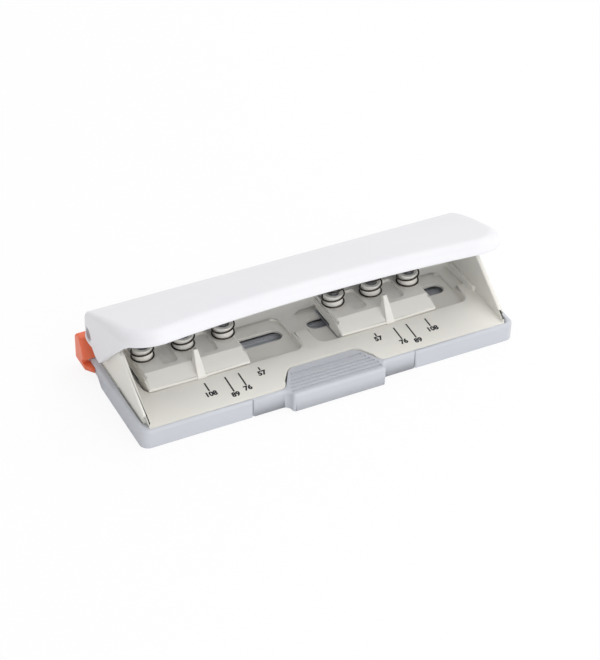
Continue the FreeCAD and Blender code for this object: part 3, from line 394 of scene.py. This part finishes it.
def coil_spring(name, x, node):
    """Coils the wire up the pin by spinning its round section: end turn, open turns, end turn."""
    wire = bmesh.new()
    ring = bmesh.ops.create_circle(wire, segments=WIRE_SIDES, radius=WIRE_RADIUS * MM,
                                   cap_ends=False)["verts"]
    bmesh.ops.rotate(wire, verts=ring, cent=(0, 0, 0), matrix=Matrix.Rotation(math.radians(90), 3, "X"))
    bmesh.ops.translate(wire, verts=ring, vec=(COIL_RADIUS * MM, 0, 0))
    start = row_point(x, PIN_LINE_Y, SPRING_FOOT + WIRE_RADIUS + SEAT_GAP)
    bmesh.ops.translate(wire, verts=ring, vec=start)
    end_rise = 2 * WIRE_RADIUS + TURN_GAP
    open_height = SPRING_HEAD - SPRING_FOOT - 2 * (WIRE_RADIUS + SEAT_GAP) - 2 * END_TURNS * end_rise
    runs = ((END_TURNS, end_rise), (ACTIVE_TURNS, open_height / ACTIVE_TURNS), (END_TURNS, end_rise))
    lower_end = upper_end = wire.edges[:]
    for turns, rise in runs:
        spun = bmesh.ops.spin(wire, geom=upper_end, cent=start, axis=(0, 0, 1), angle=turns * 2 * math.pi,
                              dvec=(0, 0, rise * MM / STEPS_PER_TURN), steps=round(turns * STEPS_PER_TURN),
                              use_merge=False)
        upper_end = [item for item in spun["geom_last"] if isinstance(item, bmesh.types.BMEdge)]
    for rim in (lower_end, upper_end):
        bmesh.ops.contextual_create(wire, geom=rim)
    bmesh.ops.recalc_face_normals(wire, faces=wire.faces)
    spring = finish_mesh(wire, name, spring_wire, None)
    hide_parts(node)
    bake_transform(spring)


for side, middle_x, outwards in HEAD_MIDDLES:
    for place, step in zip(PIN_PLACES, (1, 0, -1)):
        coil_spring(side + "_return_spring_" + place, middle_x + outwards * step * PIN_PITCH,
                    side + "_spring_" + place)

# Chip drawer: grey ABS like the tray, with the same soft gloss. Its front carries the broad
# pull pad, a field of straight grooves inside a plain border, and it slides out to be emptied.
drawer_abs = moulded_plastic("Grey moulded ABS drawer", BASE_GREY, BASE_SHADE, rough=0.42, grain=0.7,
                             relief=0.010)
eased_copy("chip_drawer", "drawer_moulding", drawer_abs, "drawer", [])

# Paper stop: a bright orange ABS slide at the left end, with jaws above and below the rim. It
# pulls out on its bar to stop the sheet at the right place. A little light goes into the
# pigment, so that its edges glow.
STOP_ORANGE = "#f37a54"
STOP_SHADE = "#ee6e48"
STOP_ROUND = 0.7
STOP_GLOW = 0.15
STOP_GLOW_DEPTH = 2
STOP_INNER_X = -87
STOP_BAR_HEIGHTS = (5.9, 8.6)
STOP_FRONT_Y = 53
orange_abs = moulded_plastic("Orange moulded ABS", STOP_ORANGE, STOP_SHADE, rough=0.38, grain=0.8,
                             relief=0.010)
pigment = orange_abs.node_tree.nodes["Principled BSDF"]
pigment.inputs["Subsurface Weight"].default_value = STOP_GLOW
pigment.inputs["Subsurface Scale"].default_value = STOP_GLOW_DEPTH * MM


def stop_rim(middle, ends):
    low, high = STOP_BAR_HEIGHTS
    return middle.x < STOP_INNER_X and not low <= middle.z <= high and middle.y > STOP_FRONT_Y


eased_copy("paper_guide", "paper_stop", orange_abs, "guide", [
    (STOP_ROUND, 3, 40, stop_rim),
])

# Studio floor: a plain sweep of matt white paper, faintly mottled. The camera sees it white,
# but it keeps the punch's soft shadow.
FLOOR_REACH = 3.0
FLOOR_WHITE = "#fafafa"
FLOOR_TONE = "#fcfcfc"
MOTTLE_PER_METRE = 12.0
SHADOW_SHARE = 0.13
floor_mesh = bmesh.new()
bmesh.ops.create_grid(floor_mesh, x_segments=1, y_segments=1, size=FLOOR_REACH)
floor_data = bpy.data.meshes.new("studio_floor")
floor_mesh.to_mesh(floor_data)
floor_mesh.free()
paper_white = bpy.data.materials.new("White paper sweep")
paper_white.use_nodes = True
tree = paper_white.node_tree
paper = tree.nodes["Principled BSDF"]
mottle = add_node(tree, "TexNoise", {"Vector": add_node(tree, "TexCoord", {}).outputs["Object"],
                                     "Scale": MOTTLE_PER_METRE})
tone = add_node(tree, "Mix", {"Factor": mottle.outputs["Fac"], "A": linear(FLOOR_WHITE),
                              "B": linear(FLOOR_TONE)}, data_type="RGBA")
tree.links.new(tone.outputs["Result"], paper.inputs["Base Color"])
paper.inputs["Roughness"].default_value = 0.8
glow = add_node(tree, "Emission", {"Color": (1, 1, 1, 1), "Strength": 1.0})
rays = add_node(tree, "LightPath", {})
seen = add_node(tree, "Math", {0: rays.outputs["Is Camera Ray"], 1: 1 - SHADOW_SHARE}, operation="MULTIPLY")
sweep = add_node(tree, "MixShader", {0: seen.outputs["Value"], 1: paper.outputs["BSDF"],
                                     2: glow.outputs["Emission"]})
tree.links.new(sweep.outputs["Shader"], tree.nodes["Material Output"].inputs["Surface"])
floor_data.materials.append(paper_white)
floor = bpy.data.objects.new("studio_floor", floor_data)
bpy.context.scene.collection.objects.link(floor)

# World: an even white surround, brighter to the camera and in reflections than as a light.
SURROUND_LIGHT = 0.66
world = bpy.data.worlds.new("white surround")
bpy.context.scene.world = world
world.use_nodes = True
tree = world.node_tree
rays = add_node(tree, "LightPath", {})
direct = add_node(tree, "Math", {0: rays.outputs["Is Camera Ray"], 1: rays.outputs["Is Transmission Ray"]},
                  operation="MAXIMUM")
mirrored = add_node(tree, "Math", {0: direct.outputs["Value"], 1: rays.outputs["Is Glossy Ray"]},
                    operation="MAXIMUM")
level = add_node(tree, "MapRange", {"Value": mirrored.outputs["Value"], "To Min": SURROUND_LIGHT,
                                    "To Max": 1.0})
surround = tree.nodes["Background"]
surround.inputs["Color"].default_value = (1, 1, 1, 1)
tree.links.new(level.outputs["Result"], surround.inputs["Strength"])

# Lamps: two broad soft boxes turned to the punch, the key high over the right and the fill
# low in front. Each line is a name, its place and its size in metres, and its power in watts.
LAMPS = (("key_box", (0.55, 0.15, 1.15), 1.2, 5.8),
         ("fill_box", (0.3, -1.15, 0.55), 1.1, 5.4))
for name, spot, size, power in LAMPS:
    lamp = bpy.data.lights.new(name, "AREA")
    lamp.energy = power
    lamp.size = size
    stand = bpy.data.objects.new(name, lamp)
    stand.matrix_world = (Matrix.Translation(spot)
                          @ (-Vector(spot)).to_track_quat("-Z", "Y").to_matrix().to_4x4())
    bpy.context.scene.collection.objects.link(stand)

# Camera: from the front left and above, through a long lens.
CAMERA_PLACE = (-0.32256, -0.61457, 0.53683)
CAMERA_TURN = -27.567
CAMERA_TILT = 90 - 37.08
CAMERA_ROLL = 1.409
LENS_MM = 107.75
SENSOR_MM = 36
VIEW_DEPTH = 10
camera = bpy.data.cameras.new("camera")
camera.lens = LENS_MM
camera.sensor_width = SENSOR_MM
camera.clip_end = VIEW_DEPTH
viewer = bpy.data.objects.new("camera", camera)
viewer.matrix_world = (Matrix.Translation(CAMERA_PLACE)
                       @ Matrix.Rotation(math.radians(CAMERA_TURN), 4, "Z")
                       @ Matrix.Rotation(math.radians(CAMERA_TILT), 4, "X")
                       @ Matrix.Rotation(math.radians(CAMERA_ROLL), 4, "Z"))
bpy.context.scene.collection.objects.link(viewer)
bpy.context.scene.camera = viewer
bpy.context.scene.view_settings.view_transform = "Standard"
